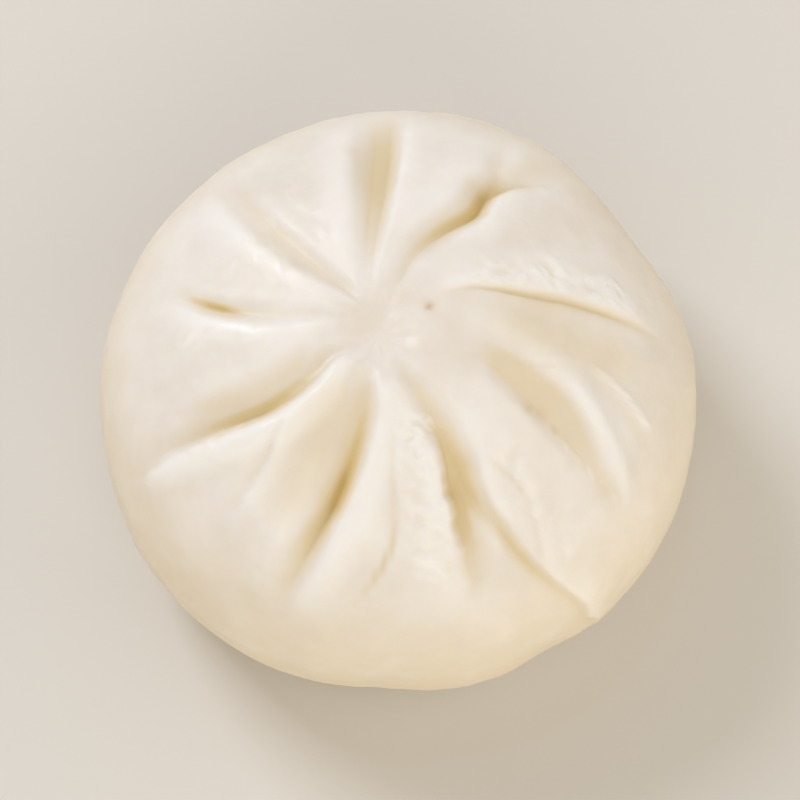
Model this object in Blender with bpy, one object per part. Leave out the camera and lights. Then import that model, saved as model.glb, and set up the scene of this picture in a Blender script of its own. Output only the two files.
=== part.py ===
"""A steamed bun of white dough, its crown gathered in nine pleats round a pinched knot, as one closed solid.

Metres, +Z up. The origin is the middle of the flat base, on the surface that the bun stands on.
Angles run counterclockwise from +X, seen from above. A "share out" is 0 at the knot and 1 at the waist.
"""

from dataclasses import dataclass

import bpy
import bmesh
import numpy as np

MM = 0.001

# Driving sizes of the whole bun
WIDTH = 82 * MM
HEIGHT = 46 * MM
WAIST_HEIGHT = 18 * MM
BASE_SHARE = 0.77
CROWN_POWER = 2.15
SKIRT_POWER = 2.3

# The pleats run towards a point a little off the middle of the bun
KNOT_X = -2.3 * MM
KNOT_Y = 0.7 * MM

# The pinch draws the knot to one side of that point
PINCH_X = -0.7 * MM
PINCH_Y = -1.7 * MM
PINCH_REACH = 0.45

# The knot is sunk a little
KNOT_DIMPLE_DEPTH = 1.2 * MM
KNOT_DIMPLE_RADIUS = 4.5 * MM

# Within this distance of the knot the pleats narrow as the spokes of a wheel do
GATHER_RADIUS = 13 * MM

# The pleats' paths are given at these shares of the way out
PATH_STATIONS = (0.1, 0.3, 0.45, 0.6, 0.8, 1.0)

# Mesh columns stand at these shares of each bank's width, up to a widest bank, with even ones between
BANK_COLUMNS = (0.3, 0.7, 1.15)
WIDEST_BANK = 3 * MM
DEGREES_PER_COLUMN = 4.4
NARROW_GAP = 12.0
NARROW_GAP_COLUMNS = 5
CROWN_ROWS = 30
SKIRT_ROWS = 10
FIRST_ROW_SHARE = 0.07

DOUGH_COLOUR = (0.87, 0.81, 0.69, 1.0)
DOUGH_ROUGHNESS = 0.45


@dataclass
class Valley:
    """A fold line in the crown, with the slopes on its two sides."""

    angles: tuple  # degrees at PATH_STATIONS
    depth: float  # at its deepest
    deepest: float  # share out where it is deepest
    end: float  # share out where it has faded out
    left_bank: float  # width of the slope on the counterclockwise side
    right_bank: float  # width of the slope on the clockwise side
    start: float = 0.0  # share out where it begins
    floor: float = 0.0  # width of a level floor, on the counterclockwise side of the line
    softness: float = 0.5  # 0 is a sharp line, 2 is a round trough
    ridge: float = 0.0  # height of the roll of dough on the counterclockwise side
    lean: float = 0.0  # how far the steep side hangs over, positive from the counterclockwise side
    step: float = 0.0  # how far the counterclockwise side laps over the other
    step_start: float = 0.2  # share out where the lap begins
    step_end: float = 1.0  # where it ends, counting on from 1 at the waist to 2 at the base


# The nine main valleys and the fork of one of them, counterclockwise from the right
PLEATS = (
    Valley((38, 25, 18, 11.5, 5.5, 3), 1.2 * MM, 0.5, 0.92, 2.2 * MM, 4.0 * MM, ridge=0.6 * MM, lean=0.4 * MM,
           step=0.5 * MM, step_end=0.98),
    Valley((62, 63.5, 61, 55, 48.5, 40), 5.2 * MM, 0.5, 0.96, 8.5 * MM, 2.6 * MM, softness=0.2, lean=-1.1 * MM),
    Valley((78, 86.5, 88.5, 87.5, 86.5, 86), 3.0 * MM, 0.55, 0.97, 3.4 * MM, 1.8 * MM, floor=2.0 * MM,
           softness=0.9, lean=-0.5 * MM),
    Valley((106, 124, 127.5, 128, 127, 124), 2.4 * MM, 0.48, 0.88, 2.4 * MM, 1.5 * MM, floor=2.4 * MM,
           ridge=0.6 * MM, lean=-0.3 * MM),
    Valley((148, 166, 171.5, 171, 163, 160), 3.0 * MM, 0.55, 0.85, 2.4 * MM, 6.0 * MM, softness=0.2,
           ridge=0.6 * MM, lean=0.6 * MM),
    Valley((218, 224, 221, 216, 209.5, 207), 5.4 * MM, 0.5, 0.95, 2.8 * MM, 9.5 * MM, softness=0.2,
           ridge=0.8 * MM, lean=1.1 * MM),
    Valley((266, 262.5, 259, 256, 249.5, 246), 5.2 * MM, 0.52, 0.92, 2.6 * MM, 8.0 * MM, softness=0.2,
           ridge=0.7 * MM, lean=1.0 * MM),
    Valley((296, 296, 295, 291.5, 289.5, 284), 4.2 * MM, 0.5, 0.88, 3.6 * MM, 2.2 * MM, softness=0.6),
    Valley((309, 304, 299, 298, 302.5, 310), 2.4 * MM, 0.6, 0.85, 3.0 * MM, 1.8 * MM, start=0.25,
           step=0.7 * MM, step_start=0.3, step_end=1.95),
    Valley((352, 343, 334.5, 329, 325.5, 324), 3.2 * MM, 0.5, 0.9, 3.8 * MM, 1.6 * MM, start=0.12,
           floor=3.0 * MM, softness=0.6, ridge=0.7 * MM, lean=-0.4 * MM),
)

# Two shallow creases on the lobes
BRANCHES = (
    Valley((274, 274, 274, 273.5, 270, 262), 0.7 * MM, 0.78, 0.92, 1.2 * MM, 2.4 * MM, start=0.6),
    Valley((232, 232, 232.5, 232.5, 231, 228), 0.8 * MM, 0.62, 0.86, 2.4 * MM, 1.6 * MM, start=0.36, softness=1.0),
)


@dataclass
class Dent:
    """A place where the outline is pressed in or swells out."""

    angle: float  # degrees round the middle of the bun
    spread: float  # degrees to either side
    depth: float  # inwards


DENTS = (
    Dent(35, 22, 2.4 * MM),
    Dent(300, 8, 0.9 * MM),
    Dent(266, 12, 0.9 * MM),
    Dent(355, 16, 0.5 * MM),
    Dent(222, 24, -0.3 * MM),
)


def wrapped(degrees):
    """Angles brought into -180 to 180."""
    return (degrees + 180.0) % 360.0 - 180.0


def smooth(t):
    """0 to 1 with a level start and end."""
    t = np.clip(t, 0.0, 1.0)
    return t * t * (3.0 - 2.0 * t)


def through_points(x, xs, ys):
    """A smooth curve through the points, level beyond both ends."""
    xs = np.asarray(xs, float)
    ys = np.asarray(ys, float)
    slopes = np.gradient(ys, xs)
    x = np.clip(x, xs[0], xs[-1])
    k = np.clip(np.searchsorted(xs, x, side="right") - 1, 0, len(xs) - 2)
    span = xs[k + 1] - xs[k]
    t = (x - xs[k]) / span
    value = ys[k] * (1 + 2 * t) * (1 - t) ** 2
    value += ys[k + 1] * t**2 * (3 - 2 * t)
    value += slopes[k] * span * t * (1 - t) ** 2
    value += slopes[k + 1] * span * t**2 * (t - 1)
    return value


def outline_radius(degrees):
    """The waist's radius round the middle of the bun."""
    radius = np.full(np.shape(degrees), WIDTH / 2)
    for dent in DENTS:
        radius = radius - dent.depth * np.exp(-((wrapped(degrees - dent.angle) / dent.spread) ** 2))
    return radius


def waist_point(degrees):
    """The point of the waist that lies in this direction from the knot."""
    direction = np.stack([np.cos(np.radians(degrees)), np.sin(np.radians(degrees))], -1)
    knot = np.array([KNOT_X, KNOT_Y])
    reach = np.full(np.shape(degrees), WIDTH / 2)
    for _ in range(12):
        point = knot + direction * reach[..., None]
        seen_at = np.degrees(np.arctan2(point[..., 1], point[..., 0]))
        reach = reach + outline_radius(seen_at) - np.hypot(point[..., 0], point[..., 1])
    return knot + direction * reach[..., None]


def path_angle(valley, share):
    """The valley's direction from the knot, in degrees, at each share of the way out."""
    return through_points(share, PATH_STATIONS, valley.angles)


def along(valley, share):
    """How much of its full depth the valley has at each share of the way out."""
    rise = smooth((share - valley.start) / (valley.deepest - valley.start))
    fall = smooth((valley.end - share) / (valley.end - valley.deepest))
    return np.where(share < valley.deepest, rise, fall)


def across(valley, x):
    """The valley's section: 1 on its line and floor, 0 beyond its banks."""
    t = np.where(x < 0, -x / valley.right_bank, (x - valley.floor) / valley.left_bank)
    t = np.clip(t, 0.0, 1.0)
    return (1 - t) ** 2 * (1 + valley.softness * t)


def ridge_across(valley, x):
    """The section of the roll of dough that stands beside the valley, 1 at its top."""
    top = valley.floor + 1.1 * valley.left_bank
    return np.exp(-(((x - top) / (0.8 * valley.left_bank + 0.6 * MM)) ** 2))


def step_across(x):
    """The section of a lap: the counterclockwise side high, the other side a little low."""
    high = (1 - np.clip(x / (9 * MM), 0, 1)) ** 2
    low = -0.35 * (1 - np.clip(-x / (6 * MM), 0, 1)) ** 2
    return low + (high - low) * smooth(x / (0.9 * MM))


def lean_across(valley, x):
    """How much of the lean a point takes: none on the line, most at the top of the steep side."""
    side = x if valley.lean > 0 else -x
    wall = 0.75 * (valley.left_bank if valley.lean > 0 else valley.right_bank)
    return smooth(side / wall) * (1 - smooth((side - wall) / (5 * MM))) * (side > 0)


def step_along(valley, way):
    """How much of its full height the lap has on its way from the knot to the base."""
    return smooth((way - valley.step_start) / 0.3) * smooth((valley.step_end - way) / 0.35)


def spread_at(share):
    """The length that a turn of one radian covers: the radius, but no less than the gathered crown's."""
    radius = WIDTH / 2 * share
    return np.hypot(radius, GATHER_RADIUS * (1 - smooth(radius / (1.6 * GATHER_RADIUS))))


def relief(degrees, share, skirt):
    """How far the skin stands out from the plain bun, and how far it shifts sideways, both in metres."""
    radius = WIDTH / 2 * share
    spread = spread_at(share)
    out = np.zeros(np.shape(radius))
    sideways = np.zeros(np.shape(radius))
    for valley in PLEATS + BRANCHES:
        x = np.radians(wrapped(degrees - path_angle(valley, share))) * spread
        strength = along(valley, share)
        out -= valley.depth * strength * across(valley, x)
        out += valley.ridge * strength * ridge_across(valley, x)
        out += valley.step * step_along(valley, share + skirt) * step_across(x)
        sideways -= valley.lean * strength * lean_across(valley, x)
    out -= KNOT_DIMPLE_DEPTH * np.exp(-((radius / KNOT_DIMPLE_RADIUS) ** 2))
    out += 0.35 * MM * smooth(share) * np.sin(np.radians(2 * degrees + 40)) * (1 - skirt)
    return out, sideways


def plain_bun(degrees, share, skirt):
    """The bun without its pleats, and the direction its skin faces."""
    waist = waist_point(degrees)
    knot = np.array([KNOT_X, KNOT_Y])
    crown = HEIGHT - WAIST_HEIGHT
    lift = (1 - share**CROWN_POWER) ** (1 / CROWN_POWER)
    tuck = 1 - (1 - skirt**SKIRT_POWER) ** (1 / SKIRT_POWER)
    in_crown = skirt <= 0
    pinch = np.array([PINCH_X, PINCH_Y]) * (1 - smooth(share / PINCH_REACH))[..., None]
    crown_place = knot + (waist - knot) * share[..., None] + pinch
    skirt_place = waist * (1 - (1 - BASE_SHARE) * tuck)[..., None]
    flat = np.where(in_crown[..., None], crown_place, skirt_place)
    z = np.where(in_crown, WAIST_HEIGHT + crown * lift, WAIST_HEIGHT * (1 - skirt))
    place = np.concatenate([flat, z[..., None]], -1)

    outwards = flat / np.maximum(np.hypot(flat[..., 0], flat[..., 1]), 1e-9)[..., None]
    half = WIDTH / 2
    tilt_out = np.where(in_crown, share, 1.0)
    tilt_up = np.where(in_crown, lift * half / crown, -0.9 * skirt)
    facing = np.concatenate([outwards * tilt_out[..., None], tilt_up[..., None]], -1)
    facing /= np.linalg.norm(facing, axis=-1)[..., None]
    return place, facing


def skin(degrees, share, skirt):
    """Points of the pleated skin."""
    out, sideways = relief(degrees, share, skirt)
    place, _ = plain_bun(degrees, share, skirt)
    radius = np.maximum(np.hypot(place[..., 0] - KNOT_X, place[..., 1] - KNOT_Y), 1 * MM)
    place, facing = plain_bun(degrees + np.degrees(sideways / radius), share, skirt)
    return place + facing * out[..., None] * (1 - smooth((skirt - 0.6) / 0.4))[..., None]


def valley_lines(share):
    """The directions of the main valleys at one share of the way out, and the first again after a full turn."""
    lines = np.array([path_angle(pleat, share) for pleat in PLEATS], float)
    return np.append(lines, lines[0] + 360.0)


def bank_columns(bank, floor, share):
    """Degrees from a valley's line to the columns on one of its banks."""
    offsets = floor + np.array(BANK_COLUMNS) * min(bank, WIDEST_BANK)
    return np.degrees(offsets / spread_at(share))


def gap_columns(k, share):
    """The directions of the columns from one valley up to the next one."""
    start, end = valley_lines(share)[k : k + 2]
    gap = end - start
    middle_gap = np.diff(valley_lines(0.5))[k]
    if middle_gap < NARROW_GAP:
        return start + gap * np.arange(NARROW_GAP_COLUMNS) / NARROW_GAP_COLUMNS
    after = bank_columns(PLEATS[k].left_bank, PLEATS[k].floor, share)
    before = bank_columns(PLEATS[(k + 1) % len(PLEATS)].right_bank, 0.0, share)
    squeeze = min(1.0, 0.75 * gap / (after[-1] + before[-1]))
    after = start + after * squeeze
    before = end - before[::-1] * squeeze
    even_count = int(round(middle_gap / DEGREES_PER_COLUMN)) - len(BANK_COLUMNS)
    between = np.linspace(after[-1], before[0], even_count + 2)[1:-1]
    columns = np.concatenate([[start], after, between, before])
    even = start + gap * np.arange(len(columns)) / len(columns)
    return columns + (even - columns) * 0.6 * smooth((share - 0.75) / 0.25)


def column_angles(share):
    """The directions of the mesh's columns at one share of the way out, so that every valley has a column."""
    return np.concatenate([gap_columns(k, share) for k in range(len(PLEATS))])


def skin_rows():
    """Rows of points from the knot down to the base."""
    rows = []
    start = np.arcsin(FIRST_ROW_SHARE)
    for turn in np.linspace(start, np.pi / 2, CROWN_ROWS):
        share = np.sin(turn) ** (2 / CROWN_POWER)
        degrees = column_angles(share)
        rows.append(skin(degrees, np.full(len(degrees), share), np.zeros(len(degrees))))
    for turn in np.linspace(0, np.pi / 2, SKIRT_ROWS + 1)[1:]:
        skirt = np.sin(turn) ** (2 / SKIRT_POWER)
        degrees = column_angles(1.0)
        rows.append(skin(degrees, np.ones(len(degrees)), np.full(len(degrees), skirt)))
    rows[-1][:, 2] = 0.0
    return rows


def knot_point(first_row):
    """The middle of the knot, level with the row round it."""
    return first_row.mean(axis=0)


def centred(rows):
    """The rows moved sideways so that the bun's bounding box stands on the origin."""
    points = np.concatenate(rows)
    middle = (points.min(axis=0) + points.max(axis=0)) / 2
    middle[2] = 0.0
    return [row - middle for row in rows]


def build_mesh():
    """The closed mesh: a fan at the knot, bands of skin, and one flat face to rest on."""
    rows = centred(skin_rows())
    mesh = bmesh.new()
    knot = mesh.verts.new(knot_point(rows[0]))
    rings = [[mesh.verts.new(point) for point in row] for row in rows]
    count = len(rings[0])
    for k in range(count):
        mesh.faces.new((knot, rings[0][k], rings[0][(k + 1) % count]))
    for upper, lower in zip(rings, rings[1:]):
        for k in range(count):
            following = (k + 1) % count
            mesh.faces.new((upper[k], lower[k], lower[following], upper[following]))
    mesh.faces.new(list(reversed(rings[-1])))
    bmesh.ops.recalc_face_normals(mesh, faces=mesh.faces)
    data = bpy.data.meshes.new("bun")
    mesh.to_mesh(data)
    mesh.free()
    data.shade_smooth()
    return data


def dough_material():
    """Steamed white dough."""
    material = bpy.data.materials.new("dough")
    material.use_nodes = True
    shader = material.node_tree.nodes["Principled BSDF"]
    shader.inputs["Base Color"].default_value = DOUGH_COLOUR
    shader.inputs["Roughness"].default_value = DOUGH_ROUGHNESS
    shader.inputs["Metallic"].default_value = 0.0
    return material


def main():
    """Builds the bun."""
    for old in list(bpy.data.objects):
        bpy.data.objects.remove(old)
    bun = bpy.data.objects.new("bun", build_mesh())
    bun.data.materials.append(dough_material())
    bpy.context.scene.collection.objects.link(bun)


main()
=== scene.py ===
"""Looks of a steamed bun: white dough with a pleated crown, on a pale floor in soft light.

Metres, +Z up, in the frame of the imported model. Angles are in degrees and run counterclockwise from +X,
seen from above. A "share out" is 0 at the knot and 1 at the waist, and "skirt" is 0 at the waist and 1 at
the base. The left of a line is its counterclockwise side, as seen from the knot.
"""

import logging
import math
from dataclasses import dataclass, field
from enum import Enum

import bpy
import numpy as np
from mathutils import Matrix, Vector


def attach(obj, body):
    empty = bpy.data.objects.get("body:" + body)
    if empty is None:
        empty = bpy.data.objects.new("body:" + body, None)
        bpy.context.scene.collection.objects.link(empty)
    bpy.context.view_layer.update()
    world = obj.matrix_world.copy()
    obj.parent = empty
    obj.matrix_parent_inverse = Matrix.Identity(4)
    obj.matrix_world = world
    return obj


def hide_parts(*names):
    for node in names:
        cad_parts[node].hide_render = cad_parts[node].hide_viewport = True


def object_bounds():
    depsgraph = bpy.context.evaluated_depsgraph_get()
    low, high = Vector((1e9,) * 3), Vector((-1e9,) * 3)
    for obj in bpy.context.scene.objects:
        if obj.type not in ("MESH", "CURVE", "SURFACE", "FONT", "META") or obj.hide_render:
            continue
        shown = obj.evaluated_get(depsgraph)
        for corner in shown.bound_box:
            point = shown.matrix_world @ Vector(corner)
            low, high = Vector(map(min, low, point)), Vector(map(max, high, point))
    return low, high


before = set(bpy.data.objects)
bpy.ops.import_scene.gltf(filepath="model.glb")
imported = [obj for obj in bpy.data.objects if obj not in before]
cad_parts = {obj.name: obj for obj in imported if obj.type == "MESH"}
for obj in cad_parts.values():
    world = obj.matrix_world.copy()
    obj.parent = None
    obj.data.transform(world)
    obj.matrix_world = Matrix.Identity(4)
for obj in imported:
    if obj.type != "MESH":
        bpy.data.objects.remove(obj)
CAD_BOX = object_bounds()

MM = 0.001
STATIONS = (0.1, 0.3, 0.45, 0.6, 0.8, 1.0)

Array = np.ndarray
Socket = bpy.types.NodeSocket
Colour = tuple[float, float, float]
Along = float | tuple[float, ...]

log = logging.getLogger("bun")


def smooth(t: Array) -> Array:
    """Rises from 0 to 1 with a level start and end."""
    t = np.clip(t, 0.0, 1.0)
    return t * t * (3.0 - 2.0 * t)


def ramp(x: Array, begin: float, length: float) -> Array:
    """Rises smoothly from 0 where it begins to 1 over the length."""
    return smooth((x - begin) / length)


def wrapped(degrees: Array) -> Array:
    """Brings angles into -180 to 180."""
    return (degrees + 180.0) % 360.0 - 180.0


def bell(x: Array, width: float) -> Array:
    """Is 1 at 0 and falls off smoothly to either side over the width."""
    return np.exp(-((x / width) ** 2))


def through_points(x: Array, xs: tuple[float, ...], ys: tuple[float, ...]) -> Array:
    """Follows a smooth curve through given points, level beyond both ends.

    Args:
        x: Where to read the curve.
        xs: The points' places, rising.
        ys: The points' values.

    Returns:
        The curve's value at each x.
    """
    places = np.asarray(xs, float)
    values = np.asarray(ys, float)
    slopes = np.gradient(values, places)
    x = np.clip(x, places[0], places[-1])
    k = np.clip(np.searchsorted(places, x, side="right") - 1, 0, len(places) - 2)
    span = places[k + 1] - places[k]
    t = (x - places[k]) / span
    value = values[k] * (1 + 2 * t) * (1 - t) ** 2
    value += values[k + 1] * t**2 * (3 - 2 * t)
    value += slopes[k] * span * t * (1 - t) ** 2
    value += slopes[k + 1] * span * t**2 * (t - 1)
    return value


def mm(*sizes: float) -> Along:
    """Gives sizes in metres: one size, or one for each station on the way out."""
    metres = tuple(size * MM for size in sizes)
    return metres if len(metres) > 1 else metres[0]


def level(size: Along, share: Array) -> Array:
    """Reads a size that may change on the way out from the knot."""
    changes = isinstance(size, tuple)
    return through_points(share, STATIONS, size) if changes else np.full(np.shape(share), size)


def add_object(name: str, data: bpy.types.ID) -> bpy.types.Object:
    """Makes an object and puts it in the scene.

    Args:
        name: The object's name.
        data: Its mesh, light or camera.

    Returns:
        The object.
    """
    thing = bpy.data.objects.new(name, data)
    bpy.context.scene.collection.objects.link(thing)
    return thing


@dataclass(frozen=True)
class Noise:
    """Smooth seeded noise in space.

    Attributes:
        seed: Picks one pattern.
        cells: How many cells it has each way before it repeats.
        gain: Brings its values to about -1 to 1.
    """

    seed: int
    cells: int = 256
    gain: float = 1.6

    def at(self, points: Array, size: float) -> Array:
        """Reads the noise.

        Args:
            points: Places, with x, y and z last.
            size: The length of one swell.

        Returns:
            Values of about -1 to 1, one for each point.
        """
        pick = np.random.default_rng(self.seed)
        order = np.tile(pick.permutation(self.cells), 2)
        leanings = pick.normal(size=(self.cells, 3))
        leanings /= np.linalg.norm(leanings, axis=1)[:, None]
        scaled = points / size
        cell = np.floor(scaled).astype(int)
        inside = scaled - cell
        ease = inside**3 * (inside * (inside * 6 - 15) + 10)
        total = np.zeros(points.shape[:-1])
        for corner in np.ndindex(2, 2, 2):
            near = (cell + corner) % self.cells
            chosen = order[order[order[near[..., 0]] + near[..., 1]] + near[..., 2]]
            value = np.sum(leanings[chosen] * (inside - corner), axis=-1)
            share = np.where(np.array(corner) == 1, ease, 1 - ease)
            total += value * np.prod(share, axis=-1)
        return total * self.gain


class Pressing(Enum):
    """How tightly a fold is pressed together along its line: the depth and width of the tight line."""

    OPEN = (0.0, 0.42 * MM)
    SOFT = (0.12 * MM, 0.385 * MM)
    TIGHT = (0.30 * MM, 0.42 * MM)
    DEEP = (0.45 * MM, 0.77 * MM)

    @property
    def depth(self) -> float:
        """The depth of the tight line."""
        return self.value[0]

    @property
    def width(self) -> float:
        """How far the tight line falls off to either side."""
        return self.value[1]


@dataclass(frozen=True)
class Grid:
    """Points of the skin, in rows that run round it and columns that run down.

    Attributes:
        degrees: Directions from the knot.
        share: Shares out.
        skirt: Shares of the way down from the waist.
    """

    degrees: Array
    share: Array
    skirt: Array

    @property
    def on_crown(self) -> Array:
        """True down to the waist."""
        return self.skirt <= 0

    @property
    def way(self) -> Array:
        """The way from the knot: 1 at the waist and 2 at the base."""
        return self.share + self.skirt


@dataclass(frozen=True)
class Place(Grid):
    """Where points of the skin are.

    Attributes:
        radius: Distances from the knot in plan.
        spread: The lengths of one radian's turn.
        plain: The points of the plain bun.
    """

    radius: Array
    spread: Array
    plain: Array


@dataclass(frozen=True)
class Track:
    """A line on the crown that runs out from the knot.

    Attributes:
        angles: Directions from the knot at the stations.
        span: The shares out between which it counts.
        ease: The length of share over which it comes and goes at both ends.
        stations: The shares out at which the directions are given; they count on past 1 down the skirt.
        wobble: How many degrees it wanders to either side.
        swings: How often it wanders to and fro on the way to the waist.
        calm: How far to its left the skin begins to leave off wandering, and over what distance.
    """

    angles: tuple[float, ...]
    span: tuple[float, float] = (0.0, 1.0)
    ease: float = 0.12
    stations: tuple[float, ...] = STATIONS
    wobble: float = 0.0
    swings: float = 24.0
    calm: tuple[float, float] = (0.4 * MM, 2.0 * MM)

    def wandering(self, way: Array) -> Array:
        """Gives how far the line wanders off on its way out, in degrees."""
        step = np.array([self.swings, 0.0, 0.0])
        return self.wobble * Noise(61).at(np.asarray(way)[..., None] * step + (0.0, self.angles[0], 0.5), 1.0)

    def angle(self, way: Array) -> Array:
        """Gives the line's direction from the knot on its way out."""
        direction = through_points(way, self.stations, self.angles)
        return direction + self.wandering(way) if self.wobble else direction

    def across(self, place: Place) -> Array:
        """Gives the distance across from the line.

        Args:
            place: Where the skin is.

        Returns:
            Distances in metres, positive on the left.
        """
        turn = wrapped(place.degrees - through_points(place.way, self.stations, self.angles))
        x = np.radians(turn) * place.spread
        if self.wobble:
            x = x - np.radians(self.wandering(place.way)) * place.spread * (1 - ramp(x, *self.calm))
        return x

    def along(self, way: Array) -> Array:
        """Gives 1 within the span and 0 outside it."""
        first, last = self.span
        return ramp(way, first, self.ease) * smooth((last - way) / self.ease)


@dataclass(frozen=True)
class Fold:
    """A fold in the crown, with the slopes on its two sides.

    Attributes:
        track: Its line.
        depth: How deep it is.
        left_bank: The width of the slope on the left.
        right_bank: The width of the slope on the right.
        floor: The width of a level floor on the left of the line.
        softness: 0 for a sharp line, 2 for a round trough.
        roll: The height of the roll of dough on the left.
        lean: How far the steep side hangs over, positive from the left.
        lean_reach: How far beyond that side the skin is drawn over with it.
        painted_shade: How strongly shade is painted into the fold, as a yellow-brown tint.
        bank_shade: The least share of that on the slopes.
        core: Half the width of the strip where that painted shade is strongest, on the line and floor.
        core_shift: How far that strip lies to the left of them.
        pressing: How tightly it is pressed along its line.
        pressed: The shares out between which it is pressed.
        pressed_ease: The length of share over which the pressing comes and goes.
    """

    track: Track
    depth: Along
    left_bank: Along
    right_bank: Along
    floor: Along = 0.0
    softness: Along = 0.5
    roll: Along = 0.0
    lean: Along = 0.0
    lean_reach: float = 5 * MM
    # Painted shade: a yellow-brown tint where shade falls in the fold.
    painted_shade: Along = 0.5
    bank_shade: float = 0.55
    core: float = 1.1 * MM
    core_shift: float = 0.0
    pressing: Pressing = Pressing.OPEN
    pressed: tuple[float, float] = (0.3, 0.8)
    pressed_ease: float = 0.1

    def strength(self, place: Place) -> Array:
        """Gives 1 where the fold counts and 0 at the knot and beyond its ends."""
        return self.track.along(place.share) * place.on_crown

    def tightness(self, place: Place) -> Array:
        """Gives how tightly the line is pressed at each share out."""
        (first, last), ease = self.pressed, self.pressed_ease
        return ramp(place.share, first, ease) * smooth((last - place.share) / ease) * place.on_crown

    def section(self, place: Place) -> Array:
        """Gives the fold's section.

        Args:
            place: Where the skin is.

        Returns:
            1 on its line and floor, and 0 beyond its banks.
        """
        x = self.track.across(place)
        right = level(self.right_bank, place.share)
        left = level(self.left_bank, place.share)
        floor = level(self.floor, place.share)
        t = np.clip(np.where(x < 0, -x / right, (x - floor) / left), 0.0, 1.0)
        return (1 - t) ** 2 * (1 + level(self.softness, place.share) * t)

    def out(self, place: Place) -> Array:
        """Shapes the fold, the roll beside it and its tight line.

        Args:
            place: Where the skin is.

        Returns:
            How far the skin moves out.
        """
        x = self.track.across(place)
        left = level(self.left_bank, place.share)
        roll_middle = level(self.floor, place.share) + 1.1 * left
        roll_width = 0.8 * left + 0.6 * MM
        rolled = level(self.roll, place.share) * bell(x - roll_middle, roll_width)
        line = bell(x, self.pressing.width) * self.pressing.depth * self.tightness(place)
        return self.strength(place) * (rolled - level(self.depth, place.share) * self.section(place)) - line

    def sideways(self, place: Place) -> Array:
        """Hangs the steep side over.

        Args:
            place: Where the skin is.

        Returns:
            How far the skin moves round: not at all on the line, and most at the top of the steep side.
        """
        x = self.track.across(place)
        lean = level(self.lean, place.share)
        side = np.where(lean > 0, x, -x)
        bank = np.where(lean > 0, level(self.left_bank, place.share), level(self.right_bank, place.share))
        wall = 0.75 * bank
        overhang = smooth(side / wall) * (1 - ramp(side, wall, self.lean_reach)) * (side > 0)
        return -lean * overhang * self.strength(place)

    def shade_tint(self, place: Place) -> Array:
        """Paints shade into the fold.

        Args:
            place: Where the skin is.

        Returns:
            How strongly shade is painted there, most on the line and floor.
        """
        # Painted shade, strongest on the line and floor and weaker on the slopes.
        x = self.track.across(place) - self.core_shift
        away = np.maximum(x - level(self.floor, place.share), 0.0) + np.maximum(-x, 0.0)
        inside = np.maximum(bell(away, self.core), self.bank_shade * self.section(place))
        return np.clip(level(self.painted_shade, place.share) * inside * self.strength(place), 0.0, 1.0)


@dataclass(frozen=True)
class Swell:
    """A soft roll or hollow that follows a line.

    Attributes:
        track: Its line.
        height: How far it stands out, or in below zero.
        left: Its width on the left.
        right: Its width on the right.
        painted_shade: How strongly shade is painted on it, as a yellow-brown tint.
    """

    track: Track
    height: Along
    left: float
    right: float
    # Painted shade: hollows are tinted yellow-brown.
    painted_shade: float = 0.0

    def section(self, place: Place) -> Array:
        """Gives 1 on the swell's line and 0 beyond its sides and ends."""
        x, along = self.track.across(place), self.track.along(place.share)
        return bell(x, np.where(x > 0, self.left, self.right)) * along * place.on_crown

    def out(self, place: Place) -> Array:
        """Gives how far the swell moves the skin out."""
        return level(self.height, place.share) * self.section(place)

    def shade_tint(self, place: Place) -> Array:
        """Gives how strongly shade is painted on it."""
        return self.painted_shade * self.section(place)


@dataclass(frozen=True)
class Lap:
    """A line where the left side lies a little higher than the right.

    Attributes:
        track: Its line; its span counts on from 1 at the waist to 2 at the base.
        height: How much higher the left side is at the line.
        rise: How wide the rise is.
        left_reach: How far the left side takes to sink back to the plain form.
        right_reach: How far the right side takes to come back up.
        share_low: How much of the height is taken from the right side.
        groove: The depth of the thin groove at the foot of the rise.
        groove_width: How far it falls off to either side.
        foot: How far right of the line the groove lies, and how far left the strip of painted shade.
        painted_shade: How strongly shade is painted along the foot of the rise.
        shade_strip_share: Half the width of the strip of painted shade, as a share of the rise.
    """

    track: Track
    height: float
    rise: float = 0.7 * MM
    left_reach: float = 9 * MM
    right_reach: float = 6 * MM
    share_low: float = 0.35
    groove: float = 0.0
    groove_width: float = 0.35 * MM
    foot: float = 0.1 * MM
    # Painted shade along the seam's foot, as a yellow-brown strip.
    painted_shade: Along = 0.3
    shade_strip_share: float = 0.6

    def out(self, place: Place) -> Array:
        """Shapes the lap.

        Args:
            place: Where the skin is.

        Returns:
            How far the skin moves out.
        """
        x = self.track.across(place)
        high = (1 - self.share_low) * (1 - np.clip(x / self.left_reach, 0, 1)) ** 2
        low = -self.share_low * (1 - np.clip(-x / self.right_reach, 0, 1)) ** 2
        step = low + (high - low) * smooth(x / self.rise)
        groove = self.groove * bell(x + self.foot, self.groove_width)
        return (self.height * step - groove) * self.track.along(place.way)

    def shade_tint(self, place: Place) -> Array:
        """Gives how strongly shade is painted along the foot of the rise."""
        strip = bell(self.track.across(place) - self.foot, self.shade_strip_share * self.rise)
        return level(self.painted_shade, place.share) * strip * self.track.along(place.way)


@dataclass(frozen=True)
class Dent:
    """A place where the outline is pressed in or swells out.

    Attributes:
        angle: Its direction round the middle of the bun.
        spread: Degrees to either side.
        depth: How far in it goes.
    """

    angle: float
    spread: float
    depth: float


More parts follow.
